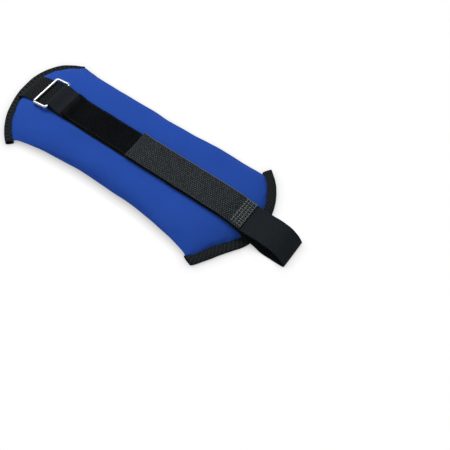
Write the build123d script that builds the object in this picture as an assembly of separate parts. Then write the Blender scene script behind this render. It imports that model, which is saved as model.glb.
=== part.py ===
from build123d import *
import math
import os

os.makedirs("parts", exist_ok=True)

# Millimetres. +X runs from the ring end to the strap end, +Y across, +Z up.
# The flat inner face of the cuff rests on z = 0.

# cuff pad
corner_x = 113.5        # where the curved ends meet the long edges
half_width = 66.0       # of the sewn-flat ends
pad_half = 50.0         # of the filled pad, which its filling draws in
sagitta = 31.0          # how far each curved end bulges out
thick = 17.0
wall = 2.0              # neoprene sleeve
pouch_wall = 0.6
inner_gap = 0.3
side_z = 10.0           # height where the upper slope meets the rounded side
crown_half = 17.0       # flat crown that carries the strap
bottom_round = 5.0
side_round = 4.0

# folding
pitch = 40.0
hinge_z = 16.0
half_fold = math.radians(20)
seam = 0.4

# curved ends
end_radius = (half_width ** 2 + sagitta ** 2) / (2 * sagitta)
end_centre = corner_x + sagitta - end_radius
binding_width = 10.5
bulge_start = 40.0      # radius where the end begins to thin down
bulge_end = end_radius - binding_width
hem_low = 1.4
hem_high = 3.8
binding_low = 0.4
binding_high = 4.8
binding_back = 0.6      # tape left outside the hem edge
bulge_base = 2.6
overlap = 0.02          # bulge stands this far outside the bar that trims it

# strap layers
strap_width = 32.0
loop_width = 30.0
web = 1.3
pile = 1.4
hook = 0.7
backing = 0.8
layer = 0.1
lift = 0.3              # air between the tail and what lies under it
web_low = thick + layer
pile_low = web_low + web + layer
hook_low = pile_low + pile + lift
backing_low = hook_low + hook + layer
tail_end = -2.5
hook_end = 130.0
return_start = 117.0

# ring
wire = 3.0
ring_y = 36.0           # between wire centres
ring_bend = 2.2
bar_x = -98.6
bar_z = 21.7
far_bar_x = -114.4
far_bar_z = 18.9
anchor_web = 1.3
anchor_end = -81.0
pile_start = -87.0


def profile(points):
    """Solid-ready face in the XZ plane from corner points."""
    return make_face(Plane.XZ * Polyline(*points, close=True))


def across(face, width):
    return extrude(face, amount=width / 2, both=True)


def boundary(index):
    """X of the fold line on the minus side of pad section 1 to 7."""
    return pitch * (index - 4.5)


def wedge(index, inset=0.0):
    """Space that a pad section may fill, with its end faces sloped for folding."""
    far = 200.0
    top = 60.0
    run = hinge_z * math.tan(half_fold)
    start = boundary(index) + seam / 2 + inset
    stop = boundary(index + 1) - seam / 2 - inset
    left = [(start, top), (start, hinge_z), (start + run, 0), (start + run, -5)]
    right = [(stop - run, -5), (stop - run, 0), (stop, hinge_z), (stop, top)]
    if index == 1:
        left = [(-far, top), (-far, -5)]
    if index == 7:
        right = [(far, -5), (far, top)]
    return across(profile(left + right), 300)


def section(inset):
    """Long bar with the cuff's cross-section, shrunk by inset."""
    corners = [
        (pad_half, 0),
        (pad_half, side_z),
        (crown_half, thick),
        (-crown_half, thick),
        (-pad_half, side_z),
        (-pad_half, 0),
    ]
    face = make_face(Polyline(*corners, close=True))
    low = [v for v in face.vertices() if v.Y < 1]
    face = fillet(low, bottom_round)
    side = [v for v in face.vertices() if abs(v.X) > pad_half - 0.1 and abs(v.Y - side_z) < 0.1]
    face = fillet(side, side_round)
    if inset:
        face = offset(face, amount=-inset)
    return extrude(Plane.YZ * face, amount=200, both=True)


def dome(inset):
    """Round bulge of the strap end, thinning down towards the curved edge."""
    base = max(bulge_base, inset + 0.2)
    reach = bulge_end - bulge_start - inset
    top = thick - inset + overlap
    low = inset - overlap
    rise = top - base
    rim = bulge_start + reach
    arc = [
        (bulge_start + reach * math.cos(t), base + rise * math.sin(t))
        for t in (math.radians(10 * k) for k in range(10))
    ]
    outline = Polyline((bulge_start, top), (0, top), (0, low), (rim - 2, low), (rim, base))
    face = make_face(Plane.XZ * (outline + Spline(*arc)))
    return Pos(end_centre, 0, 0) * revolve(face, Axis.Z)


def ring_of(inner, outer, low, high):
    """Flat band that follows the strap end's curved edge."""
    face = profile([(inner, low), (outer, low), (outer, high), (inner, high)])
    return Pos(end_centre, 0, 0) * revolve(face, Axis.Z)


def solid_pad(index, inset):
    """Pad section as one lump; the two end sections are alike, mirrored."""
    bar = section(inset)
    if index in (1, 7):
        bar = bar & dome(inset) & Pos(150, 0, 0) * Box(120, 300, 100)
    return bar


def mirrored(shape, index):
    return mirror(shape, about=Plane.YZ) if index == 1 else shape


def sleeve(index):
    twin = 7 if index == 1 else index
    body = solid_pad(twin, 0)
    if twin == 7:
        hem = ring_of(bulge_end - 4, end_radius - binding_back, hem_low, hem_high)
        body = body + (hem & Pos(150, 0, 0) * Box(120, 2 * half_width, 100))
    body = (body - solid_pad(twin, wall)) & wedge(twin)
    return mirrored(body, index)


def pouch(index):
    twin = 7 if index == 1 else index
    outer = solid_pad(twin, wall + inner_gap) & wedge(twin, 1.0)
    hollow = solid_pad(twin, wall + inner_gap + pouch_wall) & wedge(twin, 1.0 + pouch_wall)
    return mirrored(outer - hollow, index)


def fill(index):
    twin = 7 if index == 1 else index
    inset = wall + 1.5 * inner_gap + pouch_wall
    body = solid_pad(twin, inset) & wedge(twin, 1.2 + pouch_wall)
    return mirrored(body, index)


def binding(index):
    """Woven tape folded round the hem of a curved end."""
    tape = ring_of(bulge_end + layer, end_radius, binding_low, binding_high)
    slot = ring_of(0, end_radius - binding_back + layer, hem_low - layer, hem_high + layer)
    side = Pos(150, 0, 0) * Box(120, 2 * half_width + 2, 100)
    return mirrored((tape - slot) & side & wedge(7), index)


def ribbon(path, thickness, width):
    """Flat strap of one thickness along a smooth path of (x, z) points."""
    left = []
    right = []
    for i, (x, z) in enumerate(path):
        before = path[max(i - 1, 0)]
        after = path[min(i + 1, len(path) - 1)]
        dx = after[0] - before[0]
        dz = after[1] - before[1]
        size = math.hypot(dx, dz) * 2 / thickness
        left.append((x - dz / size, z + dx / size))
        right.append((x + dz / size, z - dx / size))
    edges = Spline(*left) + Line(left[-1], right[-1])
    edges = edges + Spline(*right) + Line(right[0], left[0])
    return across(make_face(Plane.XZ * edges), width)


def slope(offset_out, start_x, stop_angle, count=9):
    """Points that follow the crown down over the strap end, at one distance off it."""
    reach = bulge_end - bulge_start + offset_out
    rise = thick - bulge_base + offset_out
    centre = end_centre + bulge_start
    first = math.degrees(math.acos((start_x - centre) / reach))
    angles = [math.radians(first + (stop_angle - first) * k / (count - 1)) for k in range(count)]
    return [(centre + reach * math.cos(t), bulge_base + rise * math.sin(t)) for t in angles]


def flat_strip(x0, x1, low, height, width):
    return Pos((x0 + x1) / 2, 0, low + height / 2) * Box(x1 - x0, width, height)


def base_webbing(index):
    start = boundary(index) + seam / 2
    stop = boundary(index + 1) - seam / 2
    if 1 < index < 7:
        return flat_strip(start, stop, web_low, web, strap_width)
    edge = boundary(7) + seam / 2
    if index == 1:
        return mirrored(ribbon(slope(layer + web / 2, edge, 14), web, strap_width), 1)
    down = slope(layer + web / 2, edge, 30)
    over = [(134.8, 7.2), (138, 6.2), (142, 5.9), (146, 5.4), (150, 4.0), (155, 2.2)]
    floor = [(160, 1.35), (166, 1.2), (171.5, 1.2), (177, 1.2)]
    return ribbon(down + over + floor, web, strap_width)


def loop_strip(index):
    """Soft loop tape that the hook tape presses onto."""
    start = boundary(index) + seam / 2
    stop = boundary(index + 1) - seam / 2
    if 2 < index < 7:
        return flat_strip(start, stop, pile_low, pile, loop_width)
    middle = pile_low + pile / 2
    if index == 2:
        top = middle + 2 * anchor_web + 5 * layer
        high = [(pile_start, top), (-84.5, top), (-82, top), (-80, top - 0.5)]
        low = [(-76, middle + 0.5), (-73, middle), (-67, middle), (stop, middle)]
        return ribbon(high + low, pile, loop_width)
    return ribbon(slope(pile_low - thick + pile / 2, start, 66), pile, loop_width)


def anchor_loop():
    """Webbing folded round the ring's inner bar and sewn down behind it."""
    turn = wire / 2 + inner_gap + anchor_web / 2
    low = pile_low + anchor_web / 2
    under = [(anchor_end, low), (-84, low), (-87, low), (-90, low), (-93, low), (-96, low)]
    fold = [
        (bar_x + turn * math.cos(t), bar_z + turn * math.sin(t))
        for t in (math.radians(a) for a in range(250, 90, -20))
    ]
    high = low + anchor_web + 2 * layer
    drops = [(-97.4, 2.3), (-95.4, 1.7), (-93.2, 0.85), (-91.2, -0.05), (-89.4, -0.6)]
    down = [(x, bar_z + rise) for x, rise in drops]
    over = down + [(-87.5, high + 0.05), (-85.5, high), (-83.2, high), (anchor_end, high)]
    return ribbon(under + fold + over, anchor_web, strap_width - 0.5)


def ring():
    """Rectangular wire ring, tilted so that its free bar rests on the end slope."""
    length = math.hypot(far_bar_x - bar_x, far_bar_z - bar_z)
    tilt = math.degrees(math.atan2(bar_z - far_bar_z, bar_x - far_bar_x))
    path = RectangleRounded(length, ring_y, ring_bend).face().outer_wire()
    start = Plane(path @ 0, z_dir=path % 0)
    body = sweep(start * Circle(wire / 2), path)
    middle = ((bar_x + far_bar_x) / 2, 0, (bar_z + far_bar_z) / 2)
    return Pos(*middle) * Rot(0, -tilt, 0) * body


def tail_path(distance, stop_x):
    """Side view of the tail between the last fold line and the hairpin."""
    low = [
        (100.2, 0.0), (104, -0.1), (108, -0.35), (112, -0.8), (116, -1.4),
        (120, -2.1), (124, -2.8), (130, -3.6), (136, -4.1), (142, -4.35),
        (148, -4.45), (154, -4.6), (160, -5.1), (165, -6.1), (169, -7.6),
    ]
    points = [(x, hook_low + drop + distance) for x, drop in low]
    return [p for p in points if p[0] <= stop_x]


def hook_field(index):
    start = max(boundary(index) + seam / 2, tail_end)
    stop = boundary(index + 1) - seam / 2
    if index < 7:
        return flat_strip(start, stop, hook_low, hook, loop_width)
    return ribbon(tail_path(hook / 2, 112), hook, loop_width)


def hook_backing(index):
    start = max(boundary(index) + seam / 2, tail_end)
    stop = boundary(index + 1) - seam / 2
    if index < 7:
        return flat_strip(start, stop, backing_low, backing, strap_width)
    distance = backing_low - hook_low + backing / 2
    return ribbon(tail_path(distance, hook_end), backing, strap_width)


def return_webbing():
    """Smooth webbing from under the hook tape's sewn end down to the hairpin fold."""
    path = [p for p in tail_path(-layer, 169) if p[0] > return_start]
    turn = [(172.6, 10.3), (175.6, 7.9), (177.9, 5.6), (179.3, 3.7), (179.9, 2.2)]
    return ribbon(path + turn, web, strap_width)


pieces = {}
for number in range(1, 8):
    pieces[f"sleeve_{number}"] = sleeve(number)
    pieces[f"pouch_{number}"] = pouch(number)
    pieces[f"weight_fill_{number}"] = fill(number)
    pieces[f"base_webbing_{number}"] = base_webbing(number)
for number in range(2, 8):
    pieces[f"loop_strip_{number}"] = loop_strip(number)
for number in range(4, 8):
    pieces[f"hook_field_{number}"] = hook_field(number)
    pieces[f"hook_tape_{number}"] = hook_backing(number)
pieces["binding_ring_end"] = binding(1)
pieces["binding_strap_end"] = binding(7)
pieces["anchor_loop"] = anchor_loop()
pieces["ring"] = ring()
pieces["return_webbing"] = return_webbing()

for name, piece in pieces.items():
    solids = piece.solids()
    if len(solids) != 1:
        raise ValueError(f"{name} has {len(solids)} solids")
    export_step(solids[0], f"parts/{name}.step")
    box = solids[0].bounding_box()
    print(name, [round(v, 1) for v in (*box.min, *box.max)], round(solids[0].volume))
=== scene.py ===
import math

import bpy
import numpy as np
from mathutils import Matrix, Vector


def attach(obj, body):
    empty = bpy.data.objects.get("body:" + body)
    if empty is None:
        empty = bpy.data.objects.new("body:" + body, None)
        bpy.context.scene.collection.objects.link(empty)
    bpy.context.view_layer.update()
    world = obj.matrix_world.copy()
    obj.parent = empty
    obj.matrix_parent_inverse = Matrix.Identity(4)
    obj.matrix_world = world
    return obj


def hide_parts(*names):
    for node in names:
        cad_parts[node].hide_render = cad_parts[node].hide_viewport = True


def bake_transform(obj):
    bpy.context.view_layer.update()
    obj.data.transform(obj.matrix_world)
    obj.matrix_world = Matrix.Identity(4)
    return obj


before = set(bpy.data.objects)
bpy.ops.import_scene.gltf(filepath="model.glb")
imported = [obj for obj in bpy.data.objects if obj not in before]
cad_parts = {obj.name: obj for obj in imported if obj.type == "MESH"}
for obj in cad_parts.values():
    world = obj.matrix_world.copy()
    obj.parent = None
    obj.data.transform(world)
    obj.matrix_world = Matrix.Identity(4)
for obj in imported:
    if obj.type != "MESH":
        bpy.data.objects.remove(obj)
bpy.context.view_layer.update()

scene = bpy.context.scene
scene.view_settings.view_transform = "Standard"


# node helpers, for the floor, the world and every material

def setInputs(tree, made, inputs):
    # a socket is linked and anything else is a plain value
    for key, value in inputs.items():
        if isinstance(value, bpy.types.NodeSocket):
            tree.links.new(value, made.inputs[key])
        else:
            made.inputs[key].default_value = value
    return made


def addNode(tree, kind, inputs=None, **settings):
    made = tree.nodes.new("ShaderNode" + kind)
    for key, value in settings.items():
        setattr(made, key, value)
    return setInputs(tree, made, inputs or {})


def calc(tree, operation, *values):
    return addNode(tree, "Math", dict(enumerate(values)), operation=operation).outputs[0]


def ramp(tree, value, low, high):
    made = addNode(tree, "MapRange", {"Value": value, "From Min": low, "From Max": high},
                   interpolation_type="SMOOTHSTEP")
    return made.outputs["Result"]


def mixColor(tree, share, first, second):
    return addNode(tree, "Mix", {0: share, 6: first, 7: second}, data_type="RGBA").outputs[2]


# camera, floor and light

cameraSetup = {
    "lens": 64.43,              # millimetres on a 36 mm sensor
    "distance": 0.7583,
    "azimuth": 28.163,
    "elevation": 58.997,
    "roll": 7.632,
    "target": (0.1121, -0.01058, 0.0),
}


def makeCamera(setup):
    azimuth, elevation = math.radians(setup["azimuth"]), math.radians(setup["elevation"])
    flat = math.cos(elevation)
    back = Vector((math.sin(azimuth) * flat, -math.cos(azimuth) * flat, math.sin(elevation)))
    side = Vector((math.cos(azimuth), math.sin(azimuth), 0))
    up = back.cross(side)
    roll = math.radians(setup["roll"])
    right = side * math.cos(roll) + up * math.sin(roll)
    above = up * math.cos(roll) - side * math.sin(roll)
    data = bpy.data.cameras.new("camera")
    data.lens = setup["lens"]
    data.clip_start, data.clip_end = 0.02, 20
    camera = bpy.data.objects.new("camera", data)
    scene.collection.objects.link(camera)
    turn = Matrix((right, above, back)).transposed().to_4x4()
    place = Vector(setup["target"]) + back * setup["distance"]
    camera.matrix_world = Matrix.Translation(place) @ turn
    scene.camera = camera


studio = {
    "floorHalf": 3.0,
    "floorColor": (0.93, 0.93, 0.93, 1),
    "floorRoughness": 0.9,
    "contactReach": 0.010,
    "contactTone": 0.42,        # the shade right beside the cuff
    "contactFull": 0.12,        # openness at which that shade is reached
    "contactSamples": 16,
    "worldStrength": 0.56,
    "worldHeights": (-0.15, 0.95),
    "horizonTone": 0.30,
    "lampAim": (0.02, 0, 0),
    "lamps": {
        "overhead": {"place": (-0.55, 0.50, 1.30), "size": 0.9, "power": 13.0},
        "sideFill": {"place": (0.5, -1.1, 0.9), "size": 1.0, "power": 1.6},
        "ringGlint": {"place": (-0.9, 0.1, 0.75), "size": 0.4, "power": 2.2},
    },
}


def makeFloorPaint(setup):
    paint = bpy.data.materials.new("floorPaint")
    paint.use_nodes = True
    tree = paint.node_tree
    solid = setInputs(tree, tree.nodes["Principled BSDF"], {
        "Base Color": setup["floorColor"], "Roughness": setup["floorRoughness"]})
    # the view passes through the floor, with a painted contact shadow from an ambient-occlusion node where
    # something touches it, so that what a wrapped cuff has below its rest level stays in sight
    nearby = addNode(tree, "AmbientOcclusion", {"Distance": setup["contactReach"]},
                     samples=setup["contactSamples"])
    contact = addNode(tree, "MapRange", {"Value": nearby.outputs["AO"], "From Min": setup["contactFull"],
                                         "To Min": setup["contactTone"]})
    glass = addNode(tree, "BsdfTransparent", {"Color": contact.outputs["Result"]})
    clear = addNode(tree, "BsdfTransparent")
    rays = addNode(tree, "LightPath").outputs
    below = addNode(tree, "NewGeometry").outputs["Backfacing"]
    seen = addNode(tree, "MixShader", {0: rays["Is Camera Ray"], 1: solid.outputs[0], 2: glass.outputs[0]})
    through = calc(tree, "MAXIMUM", rays["Is Shadow Ray"], below)
    passed = addNode(tree, "MixShader", {0: through, 1: seen.outputs[0], 2: clear.outputs[0]})
    tree.links.new(passed.outputs[0], tree.nodes["Material Output"].inputs["Surface"])
    return paint


def makeFloor(setup):
    half = setup["floorHalf"]
    mesh = bpy.data.meshes.new("floor")
    corners = [(-half, -half, 0), (half, -half, 0), (half, half, 0), (-half, half, 0)]
    mesh.from_pydata(corners, [], [(0, 1, 2, 3)])
    mesh.materials.append(makeFloorPaint(setup))
    floor = bpy.data.objects.new("floor", mesh)
    scene.collection.objects.link(floor)


def makeLamps(setup):
    for name, lamp in setup["lamps"].items():
        data = bpy.data.lights.new(name, "AREA")
        data.size = lamp["size"]
        data.energy = lamp["power"]
        light = bpy.data.objects.new(name, data)
        light.location = lamp["place"]
        aim = Vector(setup["lampAim"]) - Vector(lamp["place"])
        light.rotation_euler = aim.to_track_quat("-Z", "Y").to_euler()
        scene.collection.objects.link(light)


def makeWorld(setup):
    # brighter overhead than at the horizon, and plain white where the camera sees it
    world = bpy.data.worlds.new("softbox")
    world.use_nodes = True
    tree = world.node_tree
    upward = addNode(tree, "SeparateXYZ", {0: addNode(tree, "TexCoord").outputs["Generated"]})
    low, high = setup["worldHeights"]
    tone = addNode(tree, "MapRange", {"Value": upward.outputs["Z"], "From Min": low, "From Max": high,
                                      "To Min": setup["horizonTone"]})
    glow = setInputs(tree, tree.nodes["Background"], {
        "Color": tone.outputs["Result"], "Strength": setup["worldStrength"]})
    backdrop = addNode(tree, "Background", {"Color": (1, 1, 1, 1)})
    rays = addNode(tree, "LightPath").outputs
    choose = addNode(tree, "MixShader", {0: rays["Is Camera Ray"], 1: glow.outputs[0],
                                         2: backdrop.outputs[0]})
    tree.links.new(choose.outputs[0], tree.nodes["World Output"].inputs["Surface"])
    scene.world = world


makeCamera(cameraSetup)
makeFloor(studio)
makeLamps(studio)
makeWorld(studio)
print("camera and studio ready")


# shared mesh tools

def refine(points, axis, closed=False):
    # doubles a grid's rows along one axis with points on a smooth curve through them
    p = np.moveaxis(points, axis, 0)
    if closed:
        middle = (9 * (p + np.roll(p, -1, 0)) - np.roll(p, 1, 0) - np.roll(p, -2, 0)) / 16
        fine = np.empty((2 * len(p),) + p.shape[1:])
    else:
        padded = np.concatenate([2 * p[:1] - p[1:2], p, 2 * p[-1:] - p[-2:-1]])
        middle = (9 * (padded[1:-2] + padded[2:-1]) - padded[:-3] - padded[3:]) / 16
        fine = np.empty((2 * len(p) - 1,) + p.shape[1:])
    fine[0::2], fine[1::2] = p, middle
    return np.moveaxis(fine, 0, axis)


def gridNormals(points):
    along = np.gradient(points, axis=0)
    across = np.roll(points, -1, 1) - np.roll(points, 1, 1)
    normal = np.cross(across, along)
    size = np.linalg.norm(normal, axis=2, keepdims=True)
    return normal / np.maximum(size, 1e-12)


def smoothstep(x):
    x = np.clip(x, 0, 1)
    return x * x * (3 - 2 * x)


def runningLength(steps):
    return np.concatenate([[0], np.cumsum(steps)])


def lineLength(line):
    # how far along the line each point is
    return runningLength(np.linalg.norm(np.diff(line, axis=0), axis=1))


def loopLength(section):
    # how far round a closed section each point is, and the whole way round at the end
    return runningLength(np.linalg.norm(np.roll(section, -1, 0) - section, axis=1))


def evenly(at, where, points):
    return np.stack([np.interp(at, where, points[:, k]) for k in (0, 1)], -1)


def turnsRound(count):
    return 2 * np.pi * np.arange(count) / count


def meshPiece(name, vertices, faces, material, uv=None, normals=None):
    mesh = bpy.data.meshes.new(name)
    mesh.from_pydata([tuple(v) for v in vertices], [], [tuple(f) for f in faces])
    mesh.materials.append(material)
    mesh.polygons.foreach_set("use_smooth", [True] * len(mesh.polygons))
    if uv is not None:
        layer = mesh.uv_layers.new(name="cloth")
        layer.data.foreach_set("uv", np.asarray(uv, np.float32).ravel())
    mesh.validate()
    if normals is not None:
        mesh.normals_split_custom_set_from_vertices([tuple(n) for n in normals])
    piece = bpy.data.objects.new(name, mesh)
    scene.collection.objects.link(piece)
    return piece


def gridQuads(rows, columns, closed=False):
    # corner numbers of a grid's faces; it closes round its columns, and along its rows if closed
    i, j = np.meshgrid(np.arange(rows if closed else rows - 1), np.arange(columns), indexing="ij")
    nextI, nextJ = (i + 1) % rows, (j + 1) % columns
    return np.stack([i * columns + j, i * columns + nextJ, nextI * columns + nextJ,
                     nextI * columns + j], -1).reshape(-1, 4)


def tubeFaces(rows, columns, capStart, capEnd):
    faces = [tuple(q) for q in gridQuads(rows, columns).tolist()]
    half = columns // 2
    for row, wanted in ((0, capStart), (rows - 1, capEnd)):
        for k in range(half) if wanted else ():
            base = row * columns
            ring = [base + k, base + k + 1, base + columns - k - 1, base + (columns - k) % columns]
            ring = list(dict.fromkeys(ring))
            if row:
                ring.reverse()
            faces.append(tuple(ring))
    return faces


def tubePiece(name, points, alongAt, aroundAt, material, capStart, capEnd, normals):
    # points[row][column] is a closed section per row; alongAt and aroundAt are metres of cloth
    rows, columns = points.shape[:2]
    faces = tubeFaces(rows, columns, capStart, capEnd)
    uv = []
    for face in faces:
        spots = [divmod(v, columns) for v in face]
        wraps = max(c for r, c in spots) - min(c for r, c in spots) > columns // 2
        regular = len({r for r, c in spots}) == 2
        for r, c in spots:
            v = aroundAt[columns] if wraps and regular and c == 0 else aroundAt[c]
            uv.append((alongAt[r], v))
    return meshPiece(name, points.reshape(-1, 3), faces, material, uv, normals.reshape(-1, 3))


foldSpans = {                   # each length of cloth, the bodies that it joins and where it bends
    1: {"from": -0.200, "to": -0.080, "bodies": ("pad_1", "pad_2"), "bend": (-0.122, -0.100)},
    2: {"from": -0.080, "to": -0.040, "bodies": ("pad_2", "pad_3"), "bend": (-0.080, -0.040)},
    3: {"from": -0.040, "to": 0.000, "bodies": ("pad_3", "pad_4"), "bend": (-0.040, 0.000)},
    4: {"from": 0.000, "to": 0.040, "bodies": ("pad_4", "pad_5"), "bend": (0.000, 0.040)},
    5: {"from": 0.040, "to": 0.080, "bodies": ("pad_5", "pad_6"), "bend": (0.040, 0.080)},
    6: {"from": 0.080, "to": 0.200, "bodies": ("pad_6", "pad_7"), "bend": (0.080, 0.120)},
}


def bendWith(piece):
    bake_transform(piece)


def ripple(x, seed, size, *waves):
    # a fixed sum of sines, so that every run gives the same cloth
    total = np.zeros_like(x)
    for k, wave in enumerate(waves):
        total = total + np.sin(x * (2 * np.pi / wave) + seed * (k + 1.7) * 2.399) / (k + 1)
    return size * total


# the blue sleeve

endLines = {                    # radius of each curved end's tape, in mm, by angle in degrees
    -1: {"turn": [-52, -35, -16, 0, 12, 20, 28, 34, 39, 43, 46.5],
         "outer": [83.8, 84.4, 85.0, 86.6, 88.0, 88.0, 87.0, 85.0, 82.6, 80.3, 78.0],
         "inner": [75.6, 76.2, 76.8, 78.2, 79.6, 79.6, 78.6, 77.4, 76.4, 76.0, 75.8]},
    1: {"turn": [-55, -51, -45, -40, -30, -20, -12, 0, 15, 30, 40, 48],
        "outer": [85.2, 84.9, 82.8, 81.2, 79.6, 81.8, 85.0, 86.0, 86.8, 87.6, 87.5, 86.8],
        "inner": [75.4, 74.7, 72.4, 70.6, 68.6, 71.2, 74.4, 75.5, 76.3, 77.2, 77.3, 76.8]},
}


def endLine(end, turn, which):
    table = endLines[end]
    spread = np.linspace(-4, 4, 9)
    degrees = np.degrees(turn)
    return sum(np.interp(degrees + d, table["turn"], table[which]) for d in spread) / 9000


sleeveShape = {
    "thick": 0.0169,
    "edgeHeight": 0.0065,       # height of the rolled long edges
    "underside": 0.0009,
    "hemTop": 0.0037,
    "hemLow": 0.0014,
    "slopes": (0.0362, 0.0332), # from each end's binding in to where the pad is full
    "arcRadius": 0.08576,
    "arcCentre": 0.05874,
    "straight": 0.080,
    "straightRows": 52,
    "endRows": 26,
    "around": 84,
    "crown": 3.0,
    "shoulder": 0.52,
    "squareness": 0.8,          # crowds the section's points towards its long edges
    "hemInset": 0.0012,
}
nearEdge = {                    # x and half width of the long edge at -y
    "x": [-0.1155, -0.110, -0.104, -0.097, -0.085, -0.070, -0.050, -0.028, 0.0, 0.030, 0.050,
          0.070, 0.090, 0.104, 0.1103],
    "half": [0.0603, 0.0590, 0.0570, 0.0550, 0.0530, 0.0519, 0.0506, 0.0496, 0.0500, 0.0506,
             0.0520, 0.0545, 0.0572, 0.0612, 0.0655],
    "hems": (0.0624, 0.0676),
}
farEdge = {                     # the same at +y, where the ring end's corner is drawn in
    "x": [-0.1116, -0.104, -0.097, -0.080, -0.050, 0.0, 0.038, 0.060, 0.081, 0.096, 0.106,
          0.1125, 0.1183],
    "half": [0.0557, 0.0548, 0.0534, 0.0528, 0.0535, 0.0545, 0.0550, 0.0563, 0.0557, 0.0553,
             0.0557, 0.0570, 0.0600],
    "hems": (0.0622, 0.0617),
}


def smoothTable(table, x):
    # the table's line, rounded at its corners by averaging over a few millimetres
    reach = np.linspace(-0.006, 0.006, 7)
    return sum(np.interp(x + r, table["x"], table["half"]) for r in reach) / len(reach)


def edgeHalf(x, side):
    return np.where(side > 0, smoothTable(farEdge, x), smoothTable(nearEdge, x))


def hemHalf(end, side):
    which = 0 if end < 0 else 1
    return np.where(side > 0, farEdge["hems"][which], nearEdge["hems"][which])


def endFullness(x, y, shape):
    # 0 at the sewn hem, 1 where the pad is fully filled
    beyond = np.maximum(np.abs(x) - shape["arcCentre"], 0)
    turn = np.arctan2(y, np.maximum(beyond, 1e-6))
    inner = np.where(x > 0, endLine(1, turn, "inner"), endLine(-1, turn, "inner"))
    slope = np.where(x > 0, shape["slopes"][1], shape["slopes"][0])
    share = np.clip((inner + 0.0008 - np.hypot(beyond, y)) / slope, 0, 1)
    return np.sqrt(1 - (1 - share) ** 2)


def sleeveSection(columns, shape):
    # each point's share of the half width, and whether it is on the upper face
    angle = turnsRound(columns)
    q = np.sign(np.cos(angle)) * np.abs(np.cos(angle)) ** shape["squareness"]
    return q, np.sin(angle) >= -1e-9


def sleeveGrid(shape):
    straight = shape["straight"]
    columns = shape["around"]
    q, upper = sleeveSection(columns, shape)
    middleX = np.linspace(-straight, straight, shape["straightRows"] + 1)
    endShare = np.linspace(0, 1, shape["endRows"] + 1)[1:]
    plan, hems = [], []
    for end in (-1, 1):
        turn = np.arcsin(q * hemHalf(end, q) / shape["arcRadius"])
        outer = endLine(end, turn, "outer") - shape["hemInset"]
        arc = shape["arcCentre"] + outer * np.cos(turn)
        hems.append(outer * np.sin(turn))
        rows = [end * (straight + share * (arc - straight)) for share in endShare]
        plan.append(rows[::-1] if end < 0 else rows)
    x = np.array(plan[0] + [np.full(columns, v) for v in middleX] + plan[1])
    y = q[None, :] * edgeHalf(x, q[None, :])
    y[0], y[-1] = hems
    full = endFullness(x, y, shape)
    spread = np.abs(q)[None, :]
    edge = shape["edgeHeight"]
    crest = shape["thick"] - edge
    top = edge + crest * (1 - spread ** shape["crown"]) ** shape["shoulder"]
    low = shape["underside"] + (edge - shape["underside"]) * spread ** 7
    top = shape["hemTop"] + (top - shape["hemTop"]) * full
    low = shape["hemLow"] + (low - shape["hemLow"]) * np.minimum(1, full * 1.6)
    z = np.where(upper[None, :], top, low)
    return np.stack([x, y, z], -1), q, upper


sleevePress = {
    "frames": 20,
    "cap": 0.0025,              # the most that the cloth may move
    "evening": 10,              # stretch cloth lies smoother along its length than the solve
    "cloth": {
        "quality": 6, "mass": 0.25, "tension_stiffness": 18, "compression_stiffness": 12,
        "shear_stiffness": 8, "bending_stiffness": 0.25, "use_pressure": True,
        "uniform_pressure_force": 3.2, "shrink_min": -0.002, "vertex_group_mass": "held",
    },
}


def pressSleeve(points, q, upper, shape, press):
    # inflates the tube as cloth held at the hems, under the strap and where it rests
    rows, columns = points.shape[:2]
    scratch = bpy.data.materials.new("scratch")
    work = meshPiece("work", points.reshape(-1, 3), tubeFaces(rows, columns, True, True), scratch)
    x, y = points[..., 0], points[..., 1]
    full = endFullness(x, y, shape)
    hold = np.where(full < 0.12, 1.0, 0.0)
    strap = smoothstep((0.021 - np.abs(y)) / 0.005) * upper[None, :]
    rest = smoothstep((0.75 - np.abs(q)) / 0.3)[None, :] * ~upper[None, :]
    hold = np.maximum(np.maximum(hold, strap), rest)
    group = work.vertex_groups.new(name="held")
    for index, weight in enumerate(hold.ravel()):
        group.add([index], float(weight), "REPLACE")
    cloth = work.modifiers.new("press", "CLOTH")
    for key, value in press["cloth"].items():
        setattr(cloth.settings, key, value)
    cloth.settings.effector_weights.gravity = 0
    for step in range(1, press["frames"] + 1):
        scene.frame_set(step)
    graph = bpy.context.evaluated_depsgraph_get()
    solved = work.evaluated_get(graph).to_mesh()
    moved = np.zeros(len(solved.vertices) * 3)
    solved.vertices.foreach_get("co", moved)
    moved = moved.reshape(rows, columns, 3)
    work.evaluated_get(graph).to_mesh_clear()
    scene.frame_set(1)
    bpy.data.objects.remove(work)
    shift = moved - points
    size = np.linalg.norm(shift, axis=2, keepdims=True)
    shift *= np.where(size > press["cap"], press["cap"] / np.maximum(size, 1e-9), 1.0)
    for again in range(press["evening"]):
        shift[1:-1] = (shift[:-2] + 2 * shift[1:-1] + shift[2:]) / 4
    return points + shift


sleeveFolds = {                 # heights in metres
    "puckers": 0.00022,
    "lumps": 0.00016,
    "pulls": 0.00014,
    "besideStrap": 0.0005,
    "strapSide": 0.0195,
}


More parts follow.
